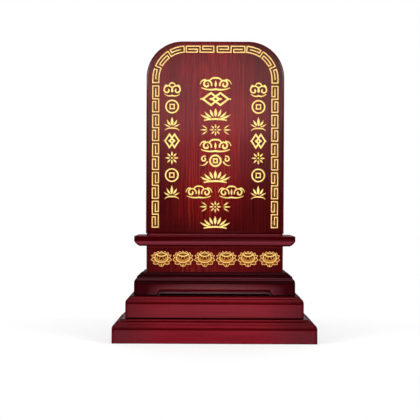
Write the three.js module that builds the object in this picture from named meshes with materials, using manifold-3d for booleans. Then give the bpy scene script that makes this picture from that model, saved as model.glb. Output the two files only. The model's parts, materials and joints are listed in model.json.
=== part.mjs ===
// Ancestor shrine: an arch-topped wooden tablet on a waisted stand, raised on two moulded plinths.
// Millimetres, +Z up. The front faces -Y, and the origin lies under the middle of the lower plinth.
// The front board slides up on two dovetail battens and bares the case that holds the name slips.
import * as THREE from "three";
import { mergeVertices } from "three/addons/utils/BufferGeometryUtils.js";
import Module from "manifold-3d";

const wasm = await Module();
wasm.setup();

// The tablet gives the widths and depths: every other layer reaches out from its faces
// by the same amount all round.
const tablet = { width: 190, depth: 70, height: 265, archRadius: 50 };
const heights = { lowerPlinth: 32, upperPlinth: 30, base: 32, waist: 36, cornice: 14, seat: 3 };
const hairline = 0.1; // the seam of a mitre
const play = 0.3; // round what slides or is let in
const overshoot = 1; // how far a cutter runs past the faces that it opens
const archSegments = 24;
const roundSegments = 7;
const sides = [
  ["left", -1],
  ["right", 1],
];

const halfWidth = tablet.width / 2;
const halfDepth = tablet.depth / 2;

// Heights of the layers above the floor
const upperPlinthZ = heights.lowerPlinth;
const baseZ = upperPlinthZ + heights.upperPlinth;
const waistZ = baseZ + heights.base;
const corniceZ = waistZ + heights.waist;
const seatZ = corniceZ + heights.cornice;
const tabletZ = seatZ + heights.seat;
const tabletTopZ = tabletZ + tablet.height;
const archCentreZ = tabletTopZ - tablet.archRadius;

// Nosings of each frame from the lowest to the highest: edge is the reach of the nosing,
// top the height of its ledge above the frame's foot, run and drop the half axes of its quarter round.
const lowerPlinth = {
  name: "lower",
  face: 43,
  thickness: 24,
  height: heights.lowerPlinth,
  footRound: 0.8,
  rebate: { width: 6, depth: 9 },
  nosings: [
    { edge: 43, top: 25.7, run: 4.1, drop: 6.4 },
    { edge: 38.2, top: 29.2, run: 3.2, drop: 3.2 },
    { edge: 32.4, top: 32, run: 2, drop: 2 },
  ],
};
const upperPlinth = {
  name: "upper",
  face: 26,
  thickness: 22,
  height: heights.upperPlinth,
  footRound: 1.4,
  rebate: { width: 6, depth: 9 },
  nosings: [
    { edge: 26, top: 26.8, run: 3.4, drop: 6.4 },
    { edge: 21.8, top: 30, run: 2, drop: 2 },
  ],
};
const base = {
  name: "base",
  face: 15,
  thickness: 22,
  height: heights.base,
  footRound: 1,
  rebate: { width: 4, depth: 9 },
  nosings: [
    { edge: 15, top: 23, run: 2.6, drop: 6.4 },
    { edge: 11.8, top: 28.2, run: 3.4, drop: 4.8 },
    { edge: 6.4, top: 32, run: 3.2, drop: 3.4 },
  ],
};
const cutOut = {
  footLength: 30.5, // from the end of the rail to the foot of the cut-out
  rise: 9,
  endRun: 6, // how far the curved ends lean in
  endSwell: 0.7, // share of the rise that a curved end gains almost upright
  lipDepth: 6,
  innerRise: 3,
  innerInset: 3,
};
const cornerBlock = { leg: 20, foot: 2, clearOfCutOut: 1 };
const waist = { reach: -1, thickness: 10, blockLeg: 14 };
const cornice = { reach: 15, fillet: 6.8, underside: 8, bevelRadius: 14.5, arris: 0.8, arrisFlat: 0.3 };
const seat = { reach: -1 };
const tenon = { spacing: 90, width: 34, thickness: 12, length: 15 };

const board = { thickness: 10, round: 3 };
const backBoard = { thickness: 9, round: 3 };
const boardRoundSegments = 5;
const railWidth = 18;
const sillHeight = 10;
const dovetail = { x: 86, root: 8, tip: 10, depth: 6, foot: 4, top: 372 };
const guide = { inner: 40, width: 12, height: 120, slotDepth: 4 };
const nameSlip = { count: 7, pitch: 6, thickness: 3, width: 86.8, height: 190, cornerRadius: 12 };

const frontY = -halfDepth;
const caseFrontY = frontY + board.thickness + play;
const caseBackY = halfDepth - backBoard.thickness - play;

const finishes = {
  tabletWood: { color: 0x6b2229, roughness: 0.35 },
  darkLacquer: { color: 0x43202a, roughness: 0.3 },
  corniceLacquer: { color: 0x551a26, roughness: 0.3 },
  redLacquer: { color: 0x822c36, roughness: 0.32 },
  plainWood: { color: 0xb58a5c, roughness: 0.75 },
  slipWood: { color: 0xc9a36c, roughness: 0.7 },
};

function piece(name, geometry, finish) {
  const material = new THREE.MeshStandardMaterial({ ...finishes[finish], metalness: 0 });
  const mesh = new THREE.Mesh(geometry, material);
  mesh.name = name;
  return mesh;
}

// A closed geometry as a solid that can be joined and cut
function toSolid(geometry) {
  const bare = geometry.clone();
  bare.deleteAttribute("normal");
  bare.deleteAttribute("uv");
  const merged = mergeVertices(bare, 1e-4);
  const vertProperties = new Float32Array(merged.attributes.position.array);
  const triVerts = new Uint32Array(merged.index.array);
  return new wasm.Manifold(new wasm.Mesh({ numProp: 3, vertProperties, triVerts }));
}

function toGeometry(solid) {
  const made = solid.getMesh();
  const geometry = new THREE.BufferGeometry();
  geometry.setAttribute("position", new THREE.BufferAttribute(made.vertProperties, 3));
  geometry.setIndex(new THREE.BufferAttribute(made.triVerts, 1));
  geometry.computeVertexNormals();
  return geometry;
}

function cut(geometry, ...cutters) {
  let solid = toSolid(geometry);
  for (const cutter of cutters) solid = solid.subtract(toSolid(cutter));
  return toGeometry(solid);
}

function join(geometry, ...others) {
  let solid = toSolid(geometry);
  for (const other of others) solid = solid.add(toSolid(other));
  return toGeometry(solid);
}

// A block between two corners
function block([x0, y0, z0], [x1, y1, z1]) {
  const geometry = new THREE.BoxGeometry(x1 - x0, y1 - y0, z1 - z0);
  return geometry.translate((x0 + x1) / 2, (y0 + y1) / 2, (z0 + z1) / 2);
}

// A plan outline raised from one height to another
function raised(shape, z0, z1, curveSegments = 12) {
  const depth = z1 - z0;
  const geometry = new THREE.ExtrudeGeometry(shape, { depth, bevelEnabled: false, curveSegments });
  return geometry.translate(0, 0, z0);
}

// An outline drawn upright in X and Z, given thickness from the plane y0 back to the plane y1
function upright(shape, y0, y1, curveSegments = archSegments) {
  const depth = y1 - y0;
  const geometry = new THREE.ExtrudeGeometry(shape, { depth, bevelEnabled: false, curveSegments });
  return geometry.rotateX(Math.PI / 2).translate(0, y1, 0);
}

function polygon(points) {
  return new THREE.Shape(points.map(([x, y]) => new THREE.Vector2(x, y)));
}

// Section of a moulded rail, drawn as reach from the tablet's face against height
function railSection(frame) {
  const inner = frame.face - frame.thickness;
  const ledge = inner + frame.rebate.width;
  const shape = new THREE.Shape();
  shape.moveTo(inner, 0);
  shape.lineTo(frame.face - frame.footRound, 0);
  shape.absarc(frame.face - frame.footRound, frame.footRound, frame.footRound, -Math.PI / 2, 0, false);
  for (const nosing of frame.nosings) {
    const { edge, top, run, drop } = nosing;
    shape.absellipse(edge - run, top - drop, run, drop, 0, Math.PI / 2, false, 0);
  }
  shape.lineTo(ledge, frame.height);
  shape.lineTo(ledge, frame.height - frame.rebate.depth);
  shape.lineTo(inner, frame.height - frame.rebate.depth);
  shape.closePath();
  return shape;
}

// Runs a section along the front of a frame and mitres both ends at 45 degrees.
// width and depth are the half sizes that the section's reach is counted from.
function mitredRail(section, width, depth) {
  const geometry = new THREE.ExtrudeGeometry(section, {
    depth: 1,
    bevelEnabled: false,
    curveSegments: roundSegments,
  });
  const place = geometry.attributes.position;
  for (let i = 0; i < place.count; i++) {
    const reach = place.getX(i);
    const side = place.getZ(i) < 0.5 ? 1 : -1;
    place.setXYZ(i, side * (width + reach - hairline / 2), -(depth + reach), place.getY(i));
  }
  geometry.computeVertexNormals();
  return geometry;
}

// The front rail's cut-out: a shallow arch in the lip, and a lower slot behind it
function cutOutCutters() {
  const { rise, endRun, endSwell, lipDepth, innerRise, innerInset } = cutOut;
  const foot = halfWidth + base.face - cutOut.footLength;
  const flat = foot - endRun;
  const swellX = foot - endRun / 6;
  const swellZ = rise * endSwell;
  const easeX = foot - endRun / 2;
  const lip = new THREE.Shape();
  lip.moveTo(-foot, -overshoot);
  lip.lineTo(foot, -overshoot);
  lip.lineTo(foot, 0);
  lip.bezierCurveTo(swellX, swellZ, easeX, rise, flat, rise);
  lip.lineTo(-flat, rise);
  lip.bezierCurveTo(-easeX, rise, -swellX, swellZ, -foot, 0);
  lip.closePath();
  const faceY = -(halfDepth + base.face);
  const outerY = faceY - overshoot;
  const innerY = faceY + base.thickness + overshoot;
  const slotHalf = foot - innerInset;
  return [
    upright(lip, outerY, faceY + lipDepth, roundSegments),
    block([-slotHalf, outerY, -overshoot], [slotHalf, innerY, innerRise]),
  ];
}

// The four sides of a frame, each drawn as the front and turned into place
function fourSides(x, y) {
  return [
    { side: "front", turn: 0, width: x, depth: y },
    { side: "right", turn: Math.PI / 2, width: y, depth: x },
    { side: "back", turn: Math.PI, width: x, depth: y },
    { side: "left", turn: -Math.PI / 2, width: y, depth: x },
  ];
}

// Four mitred rails, the board let into their rebate and a glue block in each corner
function mouldedFrame(frame, finish, frontCutters = []) {
  const group = new THREE.Group();
  const section = railSection(frame);
  const inner = frame.face - frame.thickness;
  for (const { side, turn, width, depth } of fourSides(halfWidth, halfDepth)) {
    let geometry = mitredRail(section, width, depth);
    if (side === "front" && frontCutters.length) geometry = cut(geometry, ...frontCutters);
    const mesh = piece(`${frame.name}_${side}_rail`, geometry, finish);
    mesh.rotation.z = turn;
    group.add(mesh);
  }

  const boardReach = inner + frame.rebate.width - play;
  const boardX = halfWidth + boardReach;
  const boardY = halfDepth + boardReach;
  const boardFoot = frame.height - frame.rebate.depth;
  const topBoard = block([-boardX, -boardY, boardFoot], [boardX, boardY, frame.height]);
  group.add(piece(`${frame.name}_top_board`, topBoard, "plainWood"));

  const blockFoot = frontCutters.length ? cutOut.rise + cornerBlock.clearOfCutOut : cornerBlock.foot;
  cornerBlocks(`${frame.name}_corner_block`, inner, cornerBlock.leg, blockFoot, boardFoot, group);
  return group;
}

// Three-cornered glue blocks in the four inner corners of a frame
function cornerBlocks(name, innerReach, leg, z0, z1, group) {
  const x = halfWidth + innerReach;
  const y = halfDepth + innerReach;
  const corners = [
    [-1, -1],
    [1, -1],
    [1, 1],
    [-1, 1],
  ];
  corners.forEach(([sx, sy], i) => {
    const points = [
      [sx * x, sy * y],
      [sx * (x - leg), sy * y],
      [sx * x, sy * (y - leg)],
    ];
    group.add(piece(`${name}_${i + 1}`, raised(polygon(points), z0, z1), "plainWood"));
  });
}

// The waist: four mitred panels
function waistBox() {
  const group = new THREE.Group();
  const x = halfWidth + waist.reach;
  const y = halfDepth + waist.reach;
  for (const { side, turn, width, depth } of fourSides(x, y)) {
    const end = width - hairline / 2;
    const outline = polygon([
      [-end, -depth],
      [end, -depth],
      [end - waist.thickness, -depth + waist.thickness],
      [-end + waist.thickness, -depth + waist.thickness],
    ]);
    const mesh = piece(`waist_${side}_panel`, raised(outline, 0, heights.waist), "tabletWood");
    mesh.rotation.z = turn;
    group.add(mesh);
  }
  const inner = waist.reach - waist.thickness;
  cornerBlocks("waist_corner_block", inner, waist.blockLeg, 0, heights.waist, group);
  return group;
}

// The tenons under the case's sill, grown by some clearance where they are mortises
function tenons(clearance, z0, z1) {
  return sides.map(([, sign]) => {
    const x = (sign * tenon.spacing) / 2;
    const halfX = tenon.width / 2 + clearance;
    const halfY = tenon.thickness / 2 + clearance;
    return block([x - halfX, -halfY, z0], [x + halfX, halfY, z1]);
  });
}

// Solid board with a fillet above and a gently rounded bevel below, the same on all four sides
function corniceBoard() {
  const { reach, fillet, underside, bevelRadius, arris, arrisFlat } = cornice;
  const top = heights.cornice;
  const filletFoot = top - fillet;
  const levels = [
    { reach: underside, z: 0 },
    ...arcBetween([underside, 0], [reach, filletFoot], bevelRadius),
    { reach, z: filletFoot },
    { reach, z: top - arris },
    { reach: reach - arris * arrisFlat, z: top - arris * arrisFlat },
    { reach: reach - arris, z: top },
  ];
  return steppedSlab(levels);
}

// Points on the arc of a given radius that bulges outward from a to b, without its ends
function arcBetween([ax, az], [bx, bz], radius) {
  const half = Math.hypot(bx - ax, bz - az) / 2;
  const toCentre = Math.sqrt(radius * radius - half * half);
  const ux = (bx - ax) / (2 * half);
  const uz = (bz - az) / (2 * half);
  const cx = (ax + bx) / 2 - uz * toCentre;
  const cz = (az + bz) / 2 + ux * toCentre;
  const start = Math.atan2(az - cz, ax - cx);
  const end = Math.atan2(bz - cz, bx - cx);
  const points = [];
  for (let i = 1; i < roundSegments; i++) {
    const angle = start + ((end - start) * i) / roundSegments;
    points.push({ reach: cx + radius * Math.cos(angle), z: cz + radius * Math.sin(angle) });
  }
  return points;
}

// A rectangular slab whose four sides follow one moulding, given as reach against height
function steppedSlab(levels) {
  const steps = levels.length - 1;
  const slab = new THREE.BoxGeometry(1, 1, steps, 1, 1, steps);
  const place = slab.attributes.position;
  for (let i = 0; i < place.count; i++) {
    const level = levels[Math.round(place.getZ(i) + steps / 2)];
    const x = Math.sign(place.getX(i)) * (halfWidth + level.reach);
    const y = Math.sign(place.getY(i)) * (halfDepth + level.reach);
    place.setXYZ(i, x, y, level.z);
  }
  slab.computeVertexNormals();
  return slab;
}

// Thin board under the tablet with a half-round edge
function seatBoard() {
  const radius = heights.seat / 2;
  const levels = [];
  for (let i = 0; i <= roundSegments; i++) {
    const angle = -Math.PI / 2 + (Math.PI * i) / roundSegments;
    levels.push({
      reach: seat.reach - radius + radius * Math.cos(angle),
      z: radius + radius * Math.sin(angle),
    });
  }
  return steppedSlab(levels);
}

// An upright outline with straight sides and two quarter-round corners at the top
function archOutline(half, footZ, topZ, radius) {
  const shape = new THREE.Shape();
  shape.moveTo(-half, footZ);
  shape.lineTo(half, footZ);
  shape.absarc(half - radius, topZ - radius, radius, 0, Math.PI / 2, false);
  shape.absarc(radius - half, topZ - radius, radius, Math.PI / 2, Math.PI, false);
  shape.closePath();
  return shape;
}

// A board of the tablet's whole outline, its outer arris rounded over.
// The flat face lies in the plane y = 0, the rounded one at -thickness.
function roundedArchBoard({ thickness, round }) {
  const outline = archOutline(halfWidth, tabletZ, tabletTopZ, tablet.archRadius);
  const geometry = new THREE.ExtrudeGeometry(outline, {
    depth: thickness - round,
    bevelThickness: round,
    bevelSize: round,
    bevelOffset: -round,
    bevelSegments: boardRoundSegments,
    curveSegments: archSegments,
  });
  geometry.rotateX(Math.PI / 2);
  const behind = block([-tablet.width, 0, 0], [tablet.width, 2 * round, 2 * tabletTopZ]);
  return cut(geometry, behind);
}

// The dovetail in plan, narrow where it leaves the front board, wider at its tip
function dovetailOutline(x, clearance, frontExtra) {
  const root = dovetail.root / 2 + clearance;
  const tip = dovetail.tip / 2 + clearance;
  const rootY = frontY + board.thickness;
  const tipY = rootY + dovetail.depth + clearance;
  const slope = (tip - root) / (tipY - rootY);
  return polygon([
    [x - root + slope * frontExtra, rootY - frontExtra],
    [x + root - slope * frontExtra, rootY - frontExtra],
    [x + tip, tipY],
    [x - tip, tipY],
  ]);
}

function groove(x) {
  return raised(dovetailOutline(x, play, overshoot), tabletZ - overshoot, tabletTopZ + overshoot);
}

// The case: side rails, an arched top rail, a sill tenoned into the stand and a back board
function tabletCase() {
  const group = new THREE.Group();
  const inner = halfWidth - railWidth;
  for (const [side, sign] of sides) {
    const x0 = Math.min(sign * inner, sign * halfWidth);
    const post = block([x0, caseFrontY, tabletZ], [x0 + railWidth, caseBackY, archCentreZ]);
    group.add(piece(`case_${side}_rail`, cut(post, groove(sign * dovetail.x)), "tabletWood"));
  }

  const outside = archOutline(halfWidth, archCentreZ, tabletTopZ, tablet.archRadius);
  const innerTop = tabletTopZ - railWidth;
  const opening = archOutline(inner, archCentreZ - overshoot, innerTop, tablet.archRadius - railWidth);
  const arch = cut(
    upright(outside, caseFrontY, caseBackY),
    upright(opening, caseFrontY - overshoot, caseBackY + overshoot),
    groove(-dovetail.x),
    groove(dovetail.x),
  );
  group.add(piece("case_arch_rail", arch, "tabletWood"));

  const sill = block([-inner, caseFrontY, tabletZ], [inner, caseBackY, tabletZ + sillHeight]);
  const sillTenons = tenons(0, tabletZ - tenon.length, tabletZ + sillHeight / 2);
  group.add(piece("case_sill", join(sill, ...sillTenons), "plainWood"));

  const back = piece("back_board", roundedArchBoard(backBoard), "tabletWood");
  back.geometry.rotateZ(Math.PI);
  back.position.y = halfDepth - backBoard.thickness;
  group.add(back);
  return group;
}

// Slotted guides that stand on the sill against the back board, and the name slips in their slots
function nameSlips() {
  const group = new THREE.Group();
  const standZ = tabletZ + sillHeight;
  const middleY = (caseFrontY + caseBackY) / 2;
  const firstY = middleY - ((nameSlip.count - 1) / 2) * nameSlip.pitch;
  const slotHalf = nameSlip.thickness / 2 + play;
  const frontEnd = firstY - nameSlip.pitch;
  const near = guide.inner;
  const far = near + guide.width;
  const slotEnd = near + guide.slotDepth;
  for (const [side, sign] of sides) {
    const outline = [
      [far, frontEnd],
      [far, caseBackY],
      [near, caseBackY],
    ];
    for (let i = nameSlip.count - 1; i >= 0; i--) {
      const y = firstY + i * nameSlip.pitch;
      outline.push([near, y + slotHalf], [slotEnd, y + slotHalf]);
      outline.push([slotEnd, y - slotHalf], [near, y - slotHalf]);
    }
    outline.push([near, frontEnd]);
    const points = outline.map(([x, y]) => [sign * x, y]);
    const comb = raised(polygon(points), standZ, standZ + guide.height);
    group.add(piece(`slip_guide_${side}`, comb, "plainWood"));
  }
  const { width, height, thickness, cornerRadius } = nameSlip;
  const slipOutline = archOutline(width / 2, standZ, standZ + height, cornerRadius);
  for (let i = 0; i < nameSlip.count; i++) {
    const y = firstY + i * nameSlip.pitch;
    const thin = upright(slipOutline, y - thickness / 2, y + thickness / 2, roundSegments);
    group.add(piece(`name_slip_${i + 1}`, thin, "slipWood"));
  }
  return group;
}

// The sliding front board with the two dovetail battens on its back
function frontBoard() {
  const group = new THREE.Group();
  const face = piece("front_board", roundedArchBoard(board), "tabletWood");
  face.position.y = frontY + board.thickness;
  group.add(face);
  for (const [side, sign] of sides) {
    const outline = dovetailOutline(sign * dovetail.x, 0, 0);
    const batten = raised(outline, tabletZ + dovetail.foot, dovetail.top);
    group.add(piece(`${side}_batten`, batten, "plainWood"));
  }
  return group;
}

const shrine = new THREE.Group();

const lower = mouldedFrame(lowerPlinth, "redLacquer");
shrine.add(lower);

const upper = mouldedFrame(upperPlinth, "redLacquer");
upper.position.z = upperPlinthZ;
shrine.add(upper);

const foot = mouldedFrame(base, "darkLacquer", cutOutCutters());
foot.position.z = baseZ;
shrine.add(foot);

const middle = waistBox();
middle.position.z = waistZ;
shrine.add(middle);

const mortiseReach = heights.cornice + overshoot;
const mortises = tenons(play, -mortiseReach, mortiseReach);
const corniceMesh = piece("cornice_board", cut(corniceBoard(), ...mortises), "corniceLacquer");
corniceMesh.position.z = corniceZ;
shrine.add(corniceMesh);

const seatMesh = piece("tablet_seat", cut(seatBoard(), ...mortises), "corniceLacquer");
seatMesh.position.z = seatZ;
shrine.add(seatMesh);

shrine.add(tabletCase());
shrine.add(nameSlips());
shrine.add(frontBoard());

export default shrine;
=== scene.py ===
# Ancestor shrine: lacquer, wood grain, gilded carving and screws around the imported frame.
# Metres, +Z up, the front faces -Y. Carvings are drawn in millimetres on the faces that they are cut in.
import json
from math import ceil, cos, hypot, pi, radians, sin

import bmesh
import bpy
from mathutils import Matrix, Vector, geometry

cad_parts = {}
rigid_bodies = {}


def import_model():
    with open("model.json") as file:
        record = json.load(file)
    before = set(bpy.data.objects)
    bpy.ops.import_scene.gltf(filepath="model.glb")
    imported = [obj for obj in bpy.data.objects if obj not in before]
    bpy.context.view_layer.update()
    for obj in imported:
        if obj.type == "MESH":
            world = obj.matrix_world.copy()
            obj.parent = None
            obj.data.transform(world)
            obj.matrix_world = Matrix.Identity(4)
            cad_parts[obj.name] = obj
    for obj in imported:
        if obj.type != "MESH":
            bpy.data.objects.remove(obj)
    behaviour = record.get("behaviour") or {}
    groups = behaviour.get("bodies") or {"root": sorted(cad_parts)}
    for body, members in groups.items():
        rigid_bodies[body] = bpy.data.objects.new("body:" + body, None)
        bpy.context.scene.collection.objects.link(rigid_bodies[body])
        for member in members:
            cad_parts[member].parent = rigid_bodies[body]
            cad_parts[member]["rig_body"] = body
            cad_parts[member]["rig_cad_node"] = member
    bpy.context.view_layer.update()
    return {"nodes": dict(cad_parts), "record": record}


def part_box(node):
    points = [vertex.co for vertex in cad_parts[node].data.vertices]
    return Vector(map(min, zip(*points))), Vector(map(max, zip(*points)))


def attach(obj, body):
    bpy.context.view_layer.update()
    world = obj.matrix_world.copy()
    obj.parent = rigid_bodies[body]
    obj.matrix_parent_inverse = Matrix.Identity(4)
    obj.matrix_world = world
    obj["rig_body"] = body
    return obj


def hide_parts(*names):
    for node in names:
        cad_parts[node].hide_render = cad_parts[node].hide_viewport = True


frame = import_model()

nodes = frame["nodes"]
mm = 0.001
xAxis, yAxis, zAxis = 0, 1, 2
print("frame loaded:", len(nodes), "nodes")


# Shader trees

class Wire:
    # a shader socket that adds, subtracts and multiplies like a number
    def __init__(self, tree, socket):
        self.tree, self.socket = tree, socket

    def maths(self, operation, first, second=0.0):
        return self.tree.add("Math", {"operation": operation}, {0: first, 1: second})

    def __add__(self, other):
        return self.maths("ADD", self, other)

    def __radd__(self, other):
        return self.maths("ADD", other, self)

    def __sub__(self, other):
        return self.maths("SUBTRACT", self, other)

    def __rsub__(self, other):
        return self.maths("SUBTRACT", other, self)

    def __mul__(self, other):
        return self.maths("MULTIPLY", self, other)

    def __rmul__(self, other):
        return self.maths("MULTIPLY", other, self)

    def __abs__(self):
        return self.maths("ABSOLUTE", self)


class Tree:
    # the nodes of one material or of the world
    def __init__(self, owner):
        owner.use_nodes = True
        self.owner, self.tree = owner, owner.node_tree
        self.tree.nodes.clear()

    def add(self, kind, settings=None, sockets=None, output=0):
        # colours are given as red, green and blue
        node = self.tree.nodes.new("ShaderNode" + kind)
        for name, value in (settings or {}).items():
            if name == "stops":
                fillRamp(node.color_ramp, value)
            else:
                setattr(node, name, value)
        for key, value in (sockets or {}).items():
            socket = node.inputs[key]
            if isinstance(value, Wire):
                self.tree.links.new(value.socket, socket)
            else:
                socket.default_value = (*value, 1) if socket.type == "RGBA" else value
        return Wire(self, node.outputs[output]) if node.outputs else None


def fillRamp(ramp, stops):
    while len(ramp.elements) < len(stops):
        ramp.elements.new(1)
    for element, (place, colour) in zip(ramp.elements, stops):
        element.position = place
        element.color = (*colour, 1)


def mix(share, first, second, blend="MIX"):
    return share.tree.add("Mix", {"data_type": "RGBA", "blend_type": blend}, {0: share, 6: first, 7: second}, 2)


def coordinates(tree, kind="Object"):
    return tree.add("TexCoord", output=kind)


def mapped(place, scale, shift=(0, 0, 0)):
    return place.tree.add("Mapping", None, {"Vector": place, "Scale": scale, "Location": shift})


def partOf(vector, way):
    return vector.tree.add("SeparateXYZ", None, {0: vector}, way)


def lengthOf(vector):
    return vector.tree.add("VectorMath", {"operation": "LENGTH"}, {0: vector}, "Value")


def measured(tree, way):
    # along one axis of the object, in millimetres
    return partOf(coordinates(tree), way) * (1 / mm)


def facing(tree, way):
    # how far the surface faces along that axis, from -1 to 1
    return partOf(coordinates(tree, "Normal"), way)


def noise(place, scale, detail, rough, distortion=0.0):
    sockets = {"Vector": place, "Scale": scale, "Detail": detail, "Roughness": rough, "Distortion": distortion}
    return place.tree.add("TexNoise", None, sockets)


def grain(tree, axis, squeeze, shift, *settings):
    # noise that runs with the grain: its places are squeezed along that axis
    scale = [1.0, 1.0, 1.0]
    scale[axis] = squeeze
    return noise(mapped(coordinates(tree), scale, (shift, shift, shift)), *settings)


def spread(value, low, high, toLow=0.0, toHigh=1.0):
    sockets = {"Value": value, "From Min": low, "From Max": high, "To Min": toLow, "To Max": toHigh}
    return value.tree.add("MapRange", {"clamp": True}, sockets)


def between(value, rise, fall):
    # goes from 0 to 1 over the rise and back over the fall
    return spread(value, *rise) * spread(value, *fall, 1.0, 0.0)


def newTree(name):
    return Tree(bpy.data.materials.new(name))


def close(surface):
    surface.tree.add("OutputMaterial", None, {"Surface": surface})
    return surface.tree.owner


def finished(colour, roughness, height, bump, others):
    # the bump has a strength and a depth in millimetres
    tree = colour.tree
    normal = tree.add("Bump", None, {"Height": height, "Strength": bump[0], "Distance": bump[1] * mm})
    sockets = {"Base Color": colour, "Roughness": roughness, "Normal": normal, **others}
    return close(tree.add("BsdfPrincipled", None, sockets))


# Rosewood under clear lacquer: the tablet and the waist
# A grain is given as squeeze, shift, scale, detail, roughness and distortion.

rosewood = {
    "tones": [
        (0.37, (0.0708, 0.00083, 0.0025)),
        (0.43, (0.113, 0.0015, 0.0038)),
        (0.49, (0.167, 0.0027, 0.0052)),
        (0.57, (0.242, 0.0083, 0.0071)),
        (0.68, (0.383, 0.0467, 0.015)),
    ],
    "pore": (0.0292, 0.00067, 0.0012),
    "streaks": (0.018, 0.0, 560, 6, 0.60, 0.4),
    "fibres": (0.010, 3.1, 2400, 3, 0.6),
    "figure": (0.20, 1.7, 17, 3, 0.5, 1.4),
    "pores": (0.045, 7.7, 2600, 1, 0.4),
    "wander": (14, 3, 0.5),
    "bend": 7,  # how far the figure bends the growth rings
}
# in millimetres on the face: where the wood is lightest and how far that reaches, partly its own tone and
# partly painted light that falls off towards the edges and the foot; and the same for the rings
tabletFigureAndLight = {
    "shade": 1.0, "centre": (-10, 318), "reach": (88, 160),
    "edge": (0.21, 0.15, 0.165), "depth": 0.95,
    "ringCentre": (-16, 196), "ringReach": (4.6, 62), "flameReach": (46, 78),
}
waistFigureAndLight = {
    "shade": 0.53, "centre": (-5, 113), "reach": (92, 50),
    "edge": (0.40, 0.34, 0.36), "depth": 0.90,
    "ringCentre": (-30, 60), "ringReach": (5.2, 62), "flameReach": (60, 60),
    "rubbedFrom": (126.4, 128.0),  # painted light: a lighter band on the wood just under the cornice
    "rubbed": (0.242, 0.0083, 0.0071), "rubbedShare": 0.55,
}


def awayFrom(tree, centre, reach):
    # 0 at the centre, and 1 at the reach to the side or upwards
    scale = (1 / (reach[0] * mm), 0, 1 / (reach[1] * mm))
    return lengthOf(mapped(coordinates(tree), scale, (-centre[0] / reach[0], 0, -centre[1] / reach[1])))


def rosewoodMaterial(name, axis, heart, stain=None):
    tree, shade = newTree(name), heart["shade"]
    tones = [(place, tuple(shade * part for part in tone)) for place, tone in rosewood["tones"]]
    layers = ("streaks", "fibres", "figure", "pores")
    streaks, fibres, figure, pores = [grain(tree, axis, *rosewood[layer]) for layer in layers]
    # growth rings cut lengthwise: long arches, bent by the figure
    rings = awayFrom(tree, heart["ringCentre"], heart["ringReach"]) + figure * rosewood["bend"]
    bands = rings.maths("PINGPONG", rings, 0.5)
    near = spread(awayFrom(tree, heart["ringCentre"], heart["flameReach"]), 0.4, 1.2, 1.0, 0.0)
    tone = streaks * 0.40 + fibres * 0.20 + figure * 0.16 + bands * (near * 0.22 + 0.12) + 0.06
    colour = tree.add("ValToRGB", {"stops": tones}, {0: tone})
    # open pores: short dark dashes along the grain
    pores = spread(pores, 0.64, 0.72)
    colour = mix(pores * 0.6, colour, [shade * part for part in rosewood["pore"]])
    # partly the wood's own tone and partly painted shade: the wood darkens away from its light middle, towards
    # the edges and the foot
    wander = noise(coordinates(tree), *rosewood["wander"])
    away = awayFrom(tree, heart["centre"], heart["reach"]) + (wander - 0.5) * 0.8
    colour = mix(spread(away, 0.25, 1.15, 0.0, heart["depth"]), colour, heart["edge"], "MULTIPLY")
    # painted light: a lighter band on the wood just under the cornice
    if "rubbed" in heart:
        rubbed = spread(measured(tree, "Z"), *heart["rubbedFrom"]) * heart["rubbedShare"]
        colour = mix(rubbed, colour, heart["rubbed"])
    outward = facing(tree, "Y")
    if stain:
        # on the flat face alone
        band = stain["band"](tree) * spread(outward, -0.90, -0.98) * stain["share"]
        colour = mix(band, colour, stain["colour"])
    # painted shade: darker over the rounded edge of the face, a painted dark reflection
    paintedEdgeShade = between(outward, (-0.985, -0.90), (-0.40, -0.10))
    colour = mix(paintedEdgeShade * 0.8, colour, tones[0][1])
    roughness = spread(fibres, 0.3, 0.7, 0.30, 0.42)
    clear = {"Specular IOR Level": 0.02, "Coat Weight": 0.39, "Coat Roughness": 0.09, "Coat IOR": 1.5}
    return finished(colour, roughness, fibres * 0.5 - pores * 0.6 + streaks * 0.3, (0.10, 0.2), clear)


# Lacquers: the plinths, the base, the cornice and the seat

# After the colour, its glow and its deep tone, the tones are painted light and shade: ledge and underside tones
# for how light falls, painted dark lines, contact shadows and shaded ends, and painted sheen on the base and
# the cornice
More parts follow.
